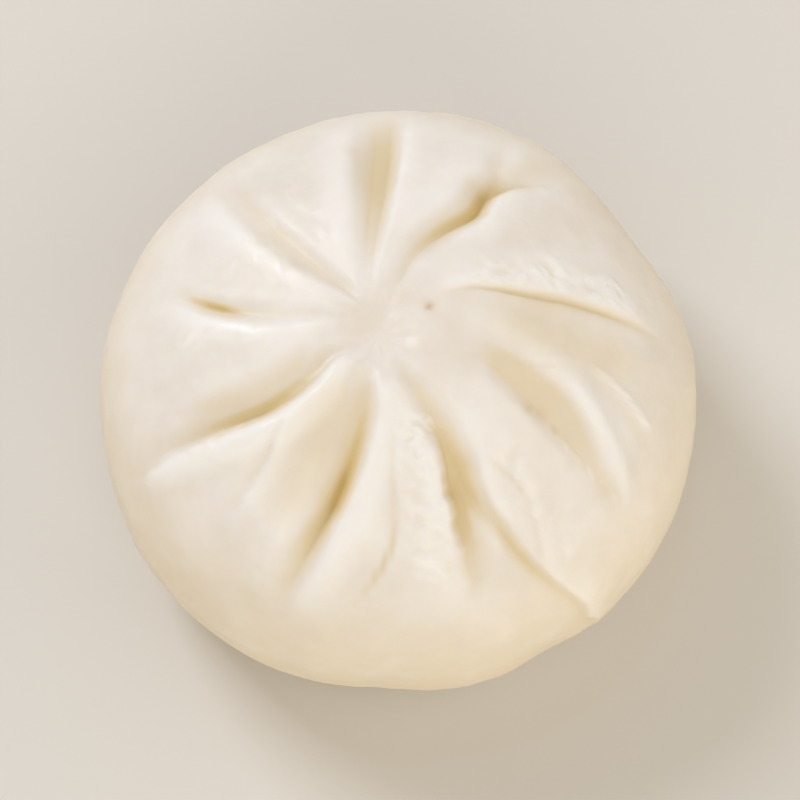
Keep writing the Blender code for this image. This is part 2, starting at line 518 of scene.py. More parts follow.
@dataclass
class BunForm:
    """The bun without its pleats.

    Attributes:
        width: Across the waist.
        height: From the base to the top of the plain crown.
        waist_height: From the base to the widest level.
        base_share: The flat base's width as a share of the waist's.
        crown_power: How full the crown is.
        skirt_power: How full the skirt is.
        skirt_tilt: How far down the skin faces at the base.
        knot: The point that the pleats run towards, in plan.
        pinch: How far the pinch draws the knot to one side of that point.
        pinch_reach: The share out where that pull ends.
        dents: Changes to the round outline.
        rounds: How many times a point of the waist is sought again, nearer each time.
    """

    width: float = 82 * MM
    height: float = 46 * MM
    waist_height: float = 18 * MM
    base_share: float = 0.77
    crown_power: float = 2.15
    skirt_power: float = 2.3
    skirt_tilt: float = 0.9
    knot: tuple[float, float] = (-2.3 * MM, 0.7 * MM)
    pinch: tuple[float, float] = (-0.7 * MM, -1.7 * MM)
    pinch_reach: float = 0.45
    dents: tuple[Dent, ...] = (
        Dent(35, 22, 2.4 * MM),
        Dent(300, 8, 0.9 * MM),
        Dent(266, 12, 0.9 * MM),
        Dent(355, 16, 0.5 * MM),
        Dent(222, 24, -0.3 * MM),
    )
    rounds: int = 12

    def outline_radius(self, degrees: Array) -> Array:
        """Gives the waist's radius.

        Args:
            degrees: Directions round the middle of the bun.

        Returns:
            The radius in each direction.
        """
        radius = np.full(np.shape(degrees), self.width / 2)
        for dent in self.dents:
            radius = radius - dent.depth * bell(wrapped(degrees - dent.angle), dent.spread)
        return radius

    def waist_point(self, degrees: Array) -> Array:
        """Finds points of the waist.

        Args:
            degrees: Directions from the knot.

        Returns:
            The point of the waist in each direction, in plan.
        """
        direction = np.stack([np.cos(np.radians(degrees)), np.sin(np.radians(degrees))], -1)
        reach = np.full(np.shape(degrees), self.width / 2)
        for _ in range(self.rounds):
            point = np.array(self.knot) + direction * reach[..., None]
            seen_at = np.degrees(np.arctan2(point[..., 1], point[..., 0]))
            reach = reach + self.outline_radius(seen_at) - np.hypot(point[..., 0], point[..., 1])
        return np.array(self.knot) + direction * reach[..., None]

    def place(self, grid: Grid) -> tuple[Array, Array]:
        """Places points on the plain bun.

        Args:
            grid: The points of the skin.

        Returns:
            The points in space, and the directions that the skin faces there.
        """
        waist = self.waist_point(grid.degrees)
        knot = np.array(self.knot)
        crown = self.height - self.waist_height
        lift = (1 - grid.share**self.crown_power) ** (1 / self.crown_power)
        tuck = 1 - (1 - grid.skirt**self.skirt_power) ** (1 / self.skirt_power)
        in_crown = grid.on_crown
        pinch = np.array(self.pinch) * (1 - smooth(grid.share / self.pinch_reach))[..., None]
        crown_place = knot + (waist - knot) * grid.share[..., None] + pinch
        skirt_place = waist * (1 - (1 - self.base_share) * tuck)[..., None]
        flat = np.where(in_crown[..., None], crown_place, skirt_place)
        z = np.where(in_crown, self.waist_height + crown * lift, self.waist_height * (1 - grid.skirt))
        place = np.concatenate([flat, z[..., None]], -1)
        outwards = flat / np.maximum(np.hypot(flat[..., 0], flat[..., 1]), 1e-9)[..., None]
        tilt_out = np.where(in_crown, grid.share, 1.0)
        tilt_up = np.where(in_crown, lift * self.width / 2 / crown, -self.skirt_tilt * grid.skirt)
        facing = np.concatenate([outwards * tilt_out[..., None], tilt_up[..., None]], -1)
        return place, facing / np.linalg.norm(facing, axis=-1)[..., None]


@dataclass(frozen=True)
class Knot:
    """The sunk knot, with puckers and lumps round it.

    Attributes:
        depth: How deep it is sunk.
        reach: How far the dimple falls off.
        pucker_height: How high the puckers stand.
        pucker_size: The turn from one pucker to the next, in radians.
        pucker_drift: How fast the puckers change on the way out.
        pucker_ring: The radius where they are full, where they begin to end, and over what distance.
        lumps: The heights of its lumps, each with the length of one swell.
        lump_ring: The radius where the lumps begin to end, and over what distance.
        seed: Picks the patterns.
    """

    depth: float = 1.1 * MM
    reach: float = 4.2 * MM
    pucker_height: float = 0.10 * MM
    pucker_size: float = 0.34
    pucker_drift: float = 40.0
    pucker_ring: tuple[float, float, float] = (4.0 * MM, 5.0 * MM, 6.0 * MM)
    lumps: tuple[tuple[float, float], ...] = ((0.22 * MM, 3.2 * MM), (0.07 * MM, 1.2 * MM))
    lump_ring: tuple[float, float] = (3.0 * MM, 7.0 * MM)
    seed: int = 21

    def out(self, place: Place) -> Array:
        """Shapes the knot.

        Args:
            place: Where the skin is.

        Returns:
            How far the skin moves out.
        """
        full, begin, length = self.pucker_ring
        ring = smooth(place.radius / full) * (1 - ramp(place.radius, begin, length))
        near = 1 - ramp(place.radius, *self.lump_ring)
        turn = np.radians(place.degrees)
        spokes = np.stack([np.cos(turn), np.sin(turn), self.pucker_drift * place.radius], -1)
        out = -self.depth * bell(place.radius, self.reach)
        out += self.pucker_height * Noise(self.seed).at(spokes, self.pucker_size) * ring
        for k, (height, size) in enumerate(self.lumps, 1):
            out += height * Noise(self.seed + k).at(place.plain, size) * near
        return out


@dataclass(frozen=True)
class CrinkledPatch:
    """A strip of skin beside a fold that has shrunk into fine wrinkles.

    Attributes:
        track: Its middle line.
        width: How wide it is to either side.
        height: How high its wrinkles stand.
        size: The distance from wrinkle to wrinkle.
        stretch: How much longer the wrinkles are along the fold than across it.
        seed: Picks the pattern.
        slant: How much the wrinkles turn away from the fold.
        glint_and_gloss: How strongly a highlight is painted on the wrinkles' tops, and how much glossier the
            strip is.
        crease_shade: How strongly shade is painted into the creases between the wrinkles.
        blotch_size: The length of the blotches in which the wrinkles are stronger and weaker.
    """

    track: Track
    width: float
    height: float
    size: float
    stretch: float
    seed: int
    slant: float = 0.0
    glint_and_gloss: float = 1.0
    crease_shade: float = 0.14
    blotch_size: float = 5 * MM

    def strength(self, place: Place) -> Array:
        """Gives where the skin is crinkled.

        Args:
            place: Where the skin is.

        Returns:
            How strongly it is crinkled, 0 to 1.
        """
        blotches = 0.75 + 0.5 * Noise(self.seed + 70).at(place.plain, self.blotch_size)
        strip = bell(self.track.across(place), self.width) * self.track.along(place.share)
        return np.clip(strip * blotches, 0.0, 1.0) * place.on_crown

    def relief(self, place: Place) -> Array:
        """Gives the pattern of the wrinkles: warped lumps, with thin creases and finer lumps on them.

        Args:
            place: Where the skin is.

        Returns:
            -1 in the creases between the wrinkles to 1 on their tops.
        """
        across = self.track.across(place) + self.slant * place.radius
        flat = np.stack([across, place.radius / self.stretch, np.full(across.shape, 3.7 * self.size)], -1)
        warp = Noise(self.seed + 50).at(flat, self.size * 2.5) * self.size
        flat = flat + warp[..., None] * np.array([1.0, 0.6, 0.0])
        lumps = Noise(self.seed).at(flat, self.size * 1.5)
        creases = np.clip(1.0 - 4.0 * np.abs(Noise(self.seed + 9).at(flat, self.size * 1.7)), 0.0, 1.0)
        fine = Noise(self.seed + 19).at(flat, self.size * 0.8)
        return np.clip(0.1 + 1.9 * lumps - 0.3 * creases + 0.8 * fine, -1.0, 1.0)

    def wrinkles(self, place: Place) -> tuple[Array, Array, Array]:
        """Wrinkles the skin.

        Args:
            place: Where the skin is.

        Returns:
            How far the skin moves out; how glossy it is and how strongly highlight is painted on the
            wrinkles' tops; and how strongly shade is painted in the creases.
        """
        relief, strength = self.relief(place), self.strength(place)
        # Painted highlight on the wrinkles' tops and painted shade in their creases; the same share also
        # makes the strip glossier.
        shown = self.glint_and_gloss * strength
        pale = shown * (0.6 + 0.4 * relief)
        return self.height * relief * strength, pale, self.crease_shade * shown * np.clip(-relief, 0.0, 1.0)


@dataclass(frozen=True)
class Spot:
    """A small pit or mark in the skin.

    Attributes:
        angle: Its direction from the knot.
        share: Its share out.
        radius: How wide it is.
        depth: How deep it is.
        colour: How strongly it is tinted.
    """

    angle: float
    share: float
    radius: float
    depth: float
    colour: float

    def strength(self, place: Place, width: float) -> Array:
        """Gives where the spot lies.

        Args:
            place: Where the skin is.
            width: The bun's width.

        Returns:
            1 in the spot's middle, falling off to 0.
        """
        half = width / 2
        round_from = np.radians(wrapped(place.degrees - self.angle)) * half * self.share
        return bell(np.hypot(round_from, place.radius - half * self.share), self.radius)


@dataclass
class PleatedSkin:
    """Everything that turns the plain bun into the pleated one.

    Attributes:
        form: The plain bun.
        knot: The knot.
        folds: The main folds, counterclockwise from the right; each has a column of the mesh.
        creases: Shallow creases on the lobes.
        swells: Soft rolls and hollows beside the folds.
        laps: Lines where one side lies over the other.
        patches: Strips of crinkled skin.
        spots: Pits and marks.
        oval: The height by which the skin is fuller along one line across the bun, and that line's angle.
        skin_grain: The heights of the skin's unevenness, each with the length of one swell and a seed.
        gather_radius: Within this distance of the knot the pleats narrow as the spokes of a wheel do.
        crest_reach: How far to either side a sharp ridge is measured against.
        lobe_reach: The same for a whole lobe.
        crest_height: How high a sharp ridge stands where its painted highlight is fullest.
        lobe_height: The same for a whole lobe; low lobes also get painted shade by it.
        hollow_depth: How deep a hollow is where its painted shade would be fullest.
    """

    form: BunForm = field(default_factory=BunForm)
    knot: Knot = field(default_factory=Knot)
    folds: tuple[Fold, ...] = (
        # Right: a shallow fold under the crinkled flap.
        Fold(Track((38, 25, 14.5, 9.5, 4.5, 2.5), (0.18, 0.90)), mm(0.0, 0.15, 0.35, 0.4, 0.2, 0.0),
             mm(1.2), mm(4.0), roll=mm(0.0, 0.2, 0.35, 0.35, 0.35, 0.2),
             lean=mm(0.0, 0.05, 0.1, 0.1, 0.05, 0.0), painted_shade=(0.0, 0.1, 0.3, 0.35, 0.25, 0.1)),
        # Upper right: a pocket that hooks over to the right.
        Fold(Track((72, 66.5, 61.6, 57.6, 54.4, 53.8, 54.8, 55.4, 53.2, 49.6, 44.8, 40), (0.10, 0.97), 0.14,
                   (0.1, 0.27, 0.35, 0.42, 0.49, 0.53, 0.58, 0.62, 0.68, 0.74, 0.84, 1.0)),
             mm(0.3, 0.7, 1.5, 1.95, 0.3, 0.0), mm(2.4, 4.2, 5.0, 5.5, 5.0, 5.0),
             mm(2.2, 2.6, 2.6, 2.3, 2.6, 2.6), softness=(1.6, 1.3, 1.0, 0.9, 1.2, 1.2), lean=mm(-0.1),
             painted_shade=(0.0, 0.4, 0.9, 1.0, -0.5, 0.0), core=1.2 * MM, core_shift=0.6 * MM,
             pressing=Pressing.SOFT, pressed=(0.44, 0.66)),
        # Top: a straight channel with a level floor.
        Fold(Track((103, 95, 91, 89, 88.3, 88), (0.10, 0.95), 0.2), mm(0.3, 0.6, 1.3, 1.8, 1.4, 0.0),
             mm(2.0, 3.4, 4.2, 4.8, 5.0, 4.4), mm(1.8, 2.0, 2.2, 2.5, 2.8, 2.6),
             floor=mm(0.6, 1.1, 1.5, 1.9, 2.2, 2.0), softness=1.5, painted_shade=(0.0, 0.25, 0.46, 0.56, 0.42, 0.0)),
        # Upper left: a faint channel.
        Fold(Track((119, 134, 136, 134, 131, 128), (0.08, 0.90)), mm(0.4, 0.5, 0.55, 0.5, 0.25, 0.0),
             mm(1.4, 2.0, 2.1, 2.2, 2.4, 2.6), mm(2.4), floor=mm(0.3, 0.9, 1.5, 1.7, 1.9, 1.9), softness=1.5,
             roll=mm(0.15, 0.22, 0.3, 0.32, 0.3, 0.2), painted_shade=(0.0, 0.1, 0.15, 0.16, 0.1, 0.0)),
        # Left: a short tight slit.
        Fold(Track((154, 172, 174, 170.8, 164.5, 158), (0.08, 0.84)), mm(0.3, 0.35, 0.5, 0.6, 0.1, 0.0),
             mm(2.0, 2.4, 2.6, 2.4, 2.4, 2.4), mm(2.0, 2.6, 2.8, 2.8, 2.6, 2.6),
             softness=(1.6, 1.5, 1.4, 1.1, 1.4, 1.4), roll=mm(0.2, 0.25, 0.35, 0.55, 0.3, 0.2), lean=mm(0.1),
             painted_shade=(0.0, 0.12, 0.25, 0.95, -0.6, 0.0), core=0.8 * MM, core_shift=-0.3 * MM,
             pressing=Pressing.TIGHT, pressed=(0.49, 0.65)),
        # Lower left: a wide slope down to the foot of a high lip.
        Fold(Track((207, 219.5, 218.4, 213.0, 207.5, 205), (0.09, 0.97), 0.16),
             mm(0.4, 0.9, 1.3, 1.3, 0.35, 0.0), mm(2.0, 2.6, 2.6, 2.5, 2.4, 2.4),
             mm(3.0, 7.0, 8.0, 6.5, 4.5, 3.5),
             softness=(1.6, 1.2, 0.8, 0.8, 1.0, 1.2), roll=mm(1.0, 1.2, 1.1, 0.9, 0.5, 0.2),
             lean=mm(0.1, 0.2, 0.3, 0.2, 0.1, 0.0), painted_shade=(0.0, 0.55, 0.92, 0.72, 0.1, 0.0),
             core=1.3 * MM, core_shift=-0.7 * MM, pressing=Pressing.SOFT, pressed=(0.42, 0.64)),
        # Bottom left: the deepest.
        Fold(Track((260, 259, 257.2, 254.7, 250.2, 246.5), (0.09, 0.97), 0.16),
             mm(0.4, 0.9, 1.6, 2.4, 1.2, 0.0), mm(2.0, 3.0, 3.2, 3.3, 3.2, 3.0),
             mm(3.0, 4.4, 4.8, 4.8, 4.4, 4.0),
             softness=(1.8, 1.7, 1.5, 1.5, 1.6, 1.8), roll=mm(0.55), lean=mm(0.0, 0.1, 0.15, 0.2, 0.1, 0.0),
             painted_shade=(0.1, 0.5, 0.9, 1.15, -0.8, 0.0), core=1.3 * MM,
             pressing=Pressing.DEEP, pressed=(0.46, 0.72)),
        # Bottom: an uneven fold beside the crinkled ridge, and the hollow that it opens into.
        Fold(Track((298, 297, 295, 292, 290.5, 286), (0.07, 0.92), wobble=1.3),
             mm(0.3, 0.7, 1.6, 1.9, 0.7, 0.0), mm(3.0, 3.6, 4.4, 4.6, 4.4, 4.4),
             mm(2.2, 2.4, 2.3, 2.2, 2.4, 3.0), floor=mm(0.2, 0.4, 0.6, 0.9, 0.6, 0.4), softness=1.4,
             lean=mm(0.0, -0.1, -0.15, -0.15, -0.1, 0.0), painted_shade=(0.0, 0.08, 0.5, 0.75, 0.3, 0.0)),
        Fold(Track((304, 302, 300, 298, 302, 309.5), (0.42, 0.9)), mm(0.0, 0.3, 0.6, 0.8, 0.3, 0.0),
             mm(3.0), mm(1.8), softness=1.8, painted_shade=(0.0, 0.0, 0.2, 0.4, 0.2, 0.0)),
        # Lower right: a long hollow with a broad floor.
        Fold(Track((356, 343.5, 334.5, 330.5, 326.5, 325), (0.26, 0.93), wobble=0.35),
             mm(0.2, 0.45, 0.62, 0.6, 0.35, 0.0), mm(3.0, 3.6, 3.8, 3.6, 2.2, 2.0), mm(3.0),
             floor=mm(0.2, 1.2, 2.8, 3.2, 0.5, 0.2), softness=1.3, roll=mm(0.4),
             painted_shade=(0.1, 0.34, 0.41, 0.37, 0.25, 0.0)),
    )
    creases: tuple[Fold, ...] = (
        Fold(Track((226, 225.5, 226.4, 229.6, 229.5, 228), (0.36, 0.82), 0.14), mm(0.42), mm(1.0), mm(2.6),
             softness=0.8, roll=mm(0.35), painted_shade=0.12, core=0.7 * MM),
        Fold(Track((66, 65, 62, 56, 61, 64), (0.5, 0.9), 0.16), mm(0.6), mm(3.4), mm(3.2), softness=1.6,
             painted_shade=0.2),
    )
    swells: tuple[Swell, ...] = (
        Swell(Track((118, 110, 108, 107, 107, 107), (0.03, 0.8)), mm(0.2), 5 * MM, 4 * MM),
        Swell(Track((154, 150, 146.5, 144, 141.5, 140), (0.08, 0.8)), mm(0.28), 3.4 * MM, 2.4 * MM),
        Swell(Track((190, 206, 209, 206, 202, 200), (0.2, 0.74)), mm(-0.05), 2.4 * MM, 2.4 * MM, 0.3),
        Swell(Track((190, 186, 182, 181, 180, 180), (0.3, 0.78)), mm(0.22), 2.4 * MM, 2.4 * MM),
        Swell(Track((230, 227, 225.5, 220.5, 212.5, 209), (0.05, 0.95)), mm(0.5), 2.2 * MM, 2.0 * MM),
        Swell(Track((40, 33, 28, 22, 10, 4), (0.2, 0.85)), mm(0.42), 3.2 * MM, 2.6 * MM),
        Swell(Track((280, 285, 286, 284, 282, 280), (0.1, 0.85)), mm(0.25), 2.2 * MM, 3.4 * MM),
        Swell(Track((340, 322, 318, 318, 317, 316), (0.3, 0.9)), mm(0.3), 4.0 * MM, 4.0 * MM),
        Swell(Track((350, 347, 344.2, 342, 333.2, 316), (0.4, 0.95)), mm(0.35), 1.6 * MM, 1.6 * MM),
        Swell(Track((10, 5, 0, -4, -6, -8), (0.25, 0.9), 0.2), mm(-0.45), 5.0 * MM, 4.0 * MM, 0.28),
        Swell(Track((246, 246, 244, 242, 240, 239), (0.12, 0.8), 0.2), mm(-0.15), 4.5 * MM, 4.0 * MM, 0.27),
        Swell(Track((50, 50, 51, 54, 52, 48), (0.56, 0.98), 0.16), mm(-0.1), 3.0 * MM, 3.0 * MM, 0.2),
        Swell(Track((354, 354, 353.5, 352.6, 345.6, 336), (0.62, 0.92), 0.1), mm(0.22), 0.6 * MM, 0.6 * MM),
        Swell(Track((351, 351, 350.5, 349.6, 342.6, 333), (0.6, 0.92), 0.1), mm(-0.12), 1.4 * MM, 1.4 * MM,
              0.15),
    )
    laps: tuple[Lap, ...] = (
        # The edge of the crinkled flap on the right.
        Lap(Track((38, 25, 14.5, 9.5, 4.5, 2.5), (0.22, 0.92), 0.24),
            0.36 * MM, groove=0.03 * MM, painted_shade=0.55),
        # The long seam, which runs on over the waist.
        Lap(Track((304, 298, 294.5, 297.3, 300, 301.3, 303.2, 305.8, 309, 310, 310.8, 311.4, 312),
                  (0.46, 1.6), 0.4, (0.1, 0.3, 0.45, 0.6, 0.7, 0.8, 0.87, 0.94, 1.0, 1.08, 1.2, 1.5, 2.0)),
            0.75 * MM, rise=1.8 * MM, groove=0.03 * MM, painted_shade=(0.6, 0.6, 0.6, 0.6, 0.6, 0.25)),
        Lap(Track((326, 342, 344, 349, 346, 340), (0.16, 0.86), 0.2), 0.22 * MM, rise=0.9 * MM, painted_shade=0.15),
        Lap(Track((306, 308.8, 310, 310.2, 309.2, 307.2, 306, 305), (0.48, 0.9), 0.12,
                  (0.4, 0.57, 0.63, 0.68, 0.72, 0.79, 0.85, 1.0)),
            0.22 * MM, rise=0.8 * MM, groove=0.07 * MM, painted_shade=0.15),
        Lap(Track((280, 278.5, 275, 273.4, 273.2, 271.6, 268.5, 264.5, 256), (0.22, 0.93), 0.2,
                  (0.15, 0.27, 0.38, 0.48, 0.6, 0.72, 0.79, 0.86, 1.0)),
            0.24 * MM, rise=1.0 * MM, right_reach=4.0 * MM, share_low=0.6, groove=0.06 * MM,
            painted_shade=(0.0, 0.0, 0.08, 0.2, 0.55, 0.4)),
        Lap(Track((20, 12, 2, -3, -6, -8), (0.3, 0.8), 0.2), -0.14 * MM, rise=1.6 * MM, painted_shade=0.0),
    )
    patches: tuple[CrinkledPatch, ...] = (
        CrinkledPatch(Track((44, 32.5, 25, 19.5, 10, 4.5), (0.28, 0.88)),
                      3.0 * MM, 0.26 * MM, 1.35 * MM, 1.0, 11, 0.0, 1.2),
        CrinkledPatch(Track((154, 151, 147, 144, 141, 140), (0.2, 0.8)),
                      2.6 * MM, 0.05 * MM, 1.1 * MM, 2.0, 12, 0.3, 0.9),
        CrinkledPatch(Track((120, 117, 122, 124, 124, 123), (0.3, 0.78)),
                      1.5 * MM, 0.09 * MM, 1.0 * MM, 2.2, 18, 0.3, 0.6),
        CrinkledPatch(Track((192, 186, 182, 181, 180, 180), (0.34, 0.76)),
                      2.2 * MM, 0.05 * MM, 1.1 * MM, 1.6, 19, -0.4, 1.0),
        CrinkledPatch(Track((290, 287, 285, 282.5, 282, 281), (0.22, 0.88)),
                      3.4 * MM, 0.22 * MM, 1.00 * MM, 1.1, 13, -0.3),
        CrinkledPatch(Track((350, 340, 330, 327.8, 326.4, 325), (0.56, 0.92)),
                      0.9 * MM, 0.15 * MM, 1.0 * MM, 1.6, 14, 0.5, 0.9),
        CrinkledPatch(Track((354, 354, 353.5, 352.6, 345.6, 336), (0.6, 0.92)),
                      0.7 * MM, 0.10 * MM, 0.9 * MM, 2.6, 20, 0.0),
        CrinkledPatch(Track((350, 347, 344.2, 342, 333.2, 318), (0.42, 0.92)),
                      1.9 * MM, 0.12 * MM, 1.1 * MM, 1.6, 25, 0.4, 0.7),
        CrinkledPatch(Track((318, 314, 311, 310.5, 311, 312), (0.45, 0.96)),
                      4.4 * MM, 0.16 * MM, 1.1 * MM, 1.5, 15, 0.5, 0.75),
        CrinkledPatch(Track((216, 220, 219, 216, 211, 207), (0.46, 0.98)),
                      1.5 * MM, 0.13 * MM, 1.1 * MM, 0.9, 17, 0.2, 0.9),
        CrinkledPatch(Track((262, 264, 264, 261, 256, 252), (0.30, 0.90)),
                      1.2 * MM, 0.07 * MM, 1.0 * MM, 1.8, 26, 0.4, 0.6),
    )
    spots: tuple[Spot, ...] = (
        # The first spot is a pit, and its tint is painted shade; the other three are tinted marks in the
        # lower-right hollow.
        Spot(26.5, 0.18, 0.60 * MM, 0.20 * MM, 0.50),
        Spot(330.2, 0.512, 0.75 * MM, 0.08 * MM, 0.24),
        Spot(330.6, 0.55, 1.0 * MM, 0.05 * MM, 0.17),
        Spot(329.4, 0.61, 0.5 * MM, 0.08 * MM, 0.17),
    )
    oval: tuple[float, float] = (0.35 * MM, 40.0)
    skin_grain: tuple[tuple[float, float, int], ...] = (
        (0.22 * MM, 9 * MM, 900),
        (0.10 * MM, 3.6 * MM, 360),
        (0.03 * MM, 1.3 * MM, 130),
    )
    gather_radius: float = 13 * MM
    crest_reach: float = 2.6 * MM
    lobe_reach: float = 7 * MM
    crest_height: float = 0.8 * MM
    lobe_height: float = 1.6 * MM
    hollow_depth: float = 3.0 * MM

    @property
    def pleats(self) -> tuple[Fold | Swell | Lap, ...]:
        """Everything that follows a line, apart from the wrinkles."""
        return self.folds + self.creases + self.swells + self.laps

    def locate(self, grid: Grid) -> Place:
        """Works out where points of the skin are.

        Args:
            grid: The points of the skin.

        Returns:
            Their place; one radian's turn is the radius long, but no less than at the gathered crown.
        """
        radius = self.form.width / 2 * grid.share
        gathered = self.gather_radius * (1 - smooth(radius / (1.6 * self.gather_radius)))
        plain, _ = self.form.place(grid)
        return Place(grid.degrees, grid.share, grid.skirt, radius, np.hypot(radius, gathered), plain)

    def raised(self, place: Place) -> Array:
        """Shapes the skin, apart from its wrinkles and spots.

        Args:
            place: Where the skin is.

        Returns:
            How far the skin moves out.
        """
        height, angle = self.oval
        turn = np.radians(2 * place.degrees + angle)
        out = self.knot.out(place)
        out += height * smooth(place.share) * np.sin(turn) * (1 - place.skirt)
        for part in self.pleats:
            out += part.out(place)
        for height, size, seed in self.skin_grain:
            out += height * Noise(seed).at(place.plain, size)
        return out

    def crests(self, place: Place, out: Array, reach: float) -> Array:
        """Finds how far the skin stands above its surroundings on the same row.

        Args:
            place: Where the skin is.
            out: How far it is moved out.
            reach: How far to either side the surroundings count.

        Returns:
            Heights in metres above the skin's mean within that reach, fading out on the skirt.
        """
        gap = 0.5
        even = np.arange(360 / gap) * gap
        waves = np.fft.rfftfreq(len(even), d=math.radians(gap)) * 2 * np.pi
        above = np.zeros(out.shape)
        for row, degrees in enumerate(place.degrees):
            turn = reach / place.spread[row, 0]
            heights = np.interp(even, degrees % 360, out[row], period=360)
            mean = np.fft.irfft(np.fft.rfft(heights) * np.exp(-0.5 * (waves * turn) ** 2), len(even))
            above[row] = out[row] - np.interp(degrees % 360, even, mean, period=360)
        return above * (1 - ramp(place.way, 0.95, 0.35))

    def surface(self, grid: Grid) -> dict[str, Array]:
        """Places the pleated skin.

        Args:
            grid: The points of the skin.

        Returns:
            "points", with x, y and z last, and for the finish, 0 to 1: "painted_shade", shade painted into
            folds and hollows; "crinkled", the wrinkles, with a painted highlight on their tops; "spot_tint",
            the spots' tint; "crest_highlight", a painted highlight on ridges; and "low", painted warm shade
            and bounce towards the waist and below it, with a little at the sunk knot.
        """
        place = self.locate(grid)
        out = self.raised(place)
        above = self.crests(place, out, self.crest_reach)
        lobes = self.crests(place, out, self.lobe_reach)
        # Painted shade: skin that lies below its surroundings, in hollows and on low lobes, is tinted
        # yellow-brown.
        painted_shade = np.clip(-above / self.hollow_depth, 0.0, 0.8)
        painted_shade = painted_shade + 0.35 * np.clip(-lobes / self.lobe_height, 0.0, 1.0)
        # Painted shade in the folds, hollows and seams.
        for part in self.pleats:
            painted_shade = np.maximum(painted_shade, part.shade_tint(place))
        # Crinkled strips: glossier and bumpier, with a painted highlight on the wrinkles' tops and painted
        # shade in their creases.
        crinkled = np.zeros(grid.share.shape)
        for patch in self.patches:
            wrinkled, pale, shade_tint = patch.wrinkles(place)
            out += wrinkled
            crinkled = np.maximum(crinkled, pale)
            painted_shade = np.maximum(painted_shade, shade_tint)
        # Spots are dented and tinted; in the pit at the right, the tint is painted shade.
        spot_tint = np.zeros(grid.share.shape)
        for spot in self.spots:
            strength = spot.strength(place, self.form.width)
            out -= spot.depth * strength
            spot_tint = np.maximum(spot_tint, spot.colour * strength)
        sideways = sum(fold.sideways(place) for fold in self.folds)
        turn = np.degrees(sideways / np.maximum(place.radius, 1 * MM))
        moved, facing = self.form.place(Grid(grid.degrees + turn, grid.share, grid.skirt))
        out = out * (1 - ramp(grid.skirt, 0.6, 0.4))
        # Painted warm shade and bounce: darker and warmer towards the waist and below it, and a little at the
        # sunk knot.
        low = 0.25 * ramp(grid.share, 0.76, 0.18) + 0.75 * ramp(grid.way, 0.87, 0.26)
        return {
            "points": moved + facing * out[..., None],
            "painted_shade": painted_shade,
            "crinkled": crinkled,
            "spot_tint": spot_tint,
            # Painted highlight on ridges that stand above their surroundings.
            "crest_highlight": np.clip(above / self.crest_height + lobes / self.lobe_height, 0.0, 1.0),
            "low": low + 0.08 * bell(place.radius, 3.6 * MM),
        }


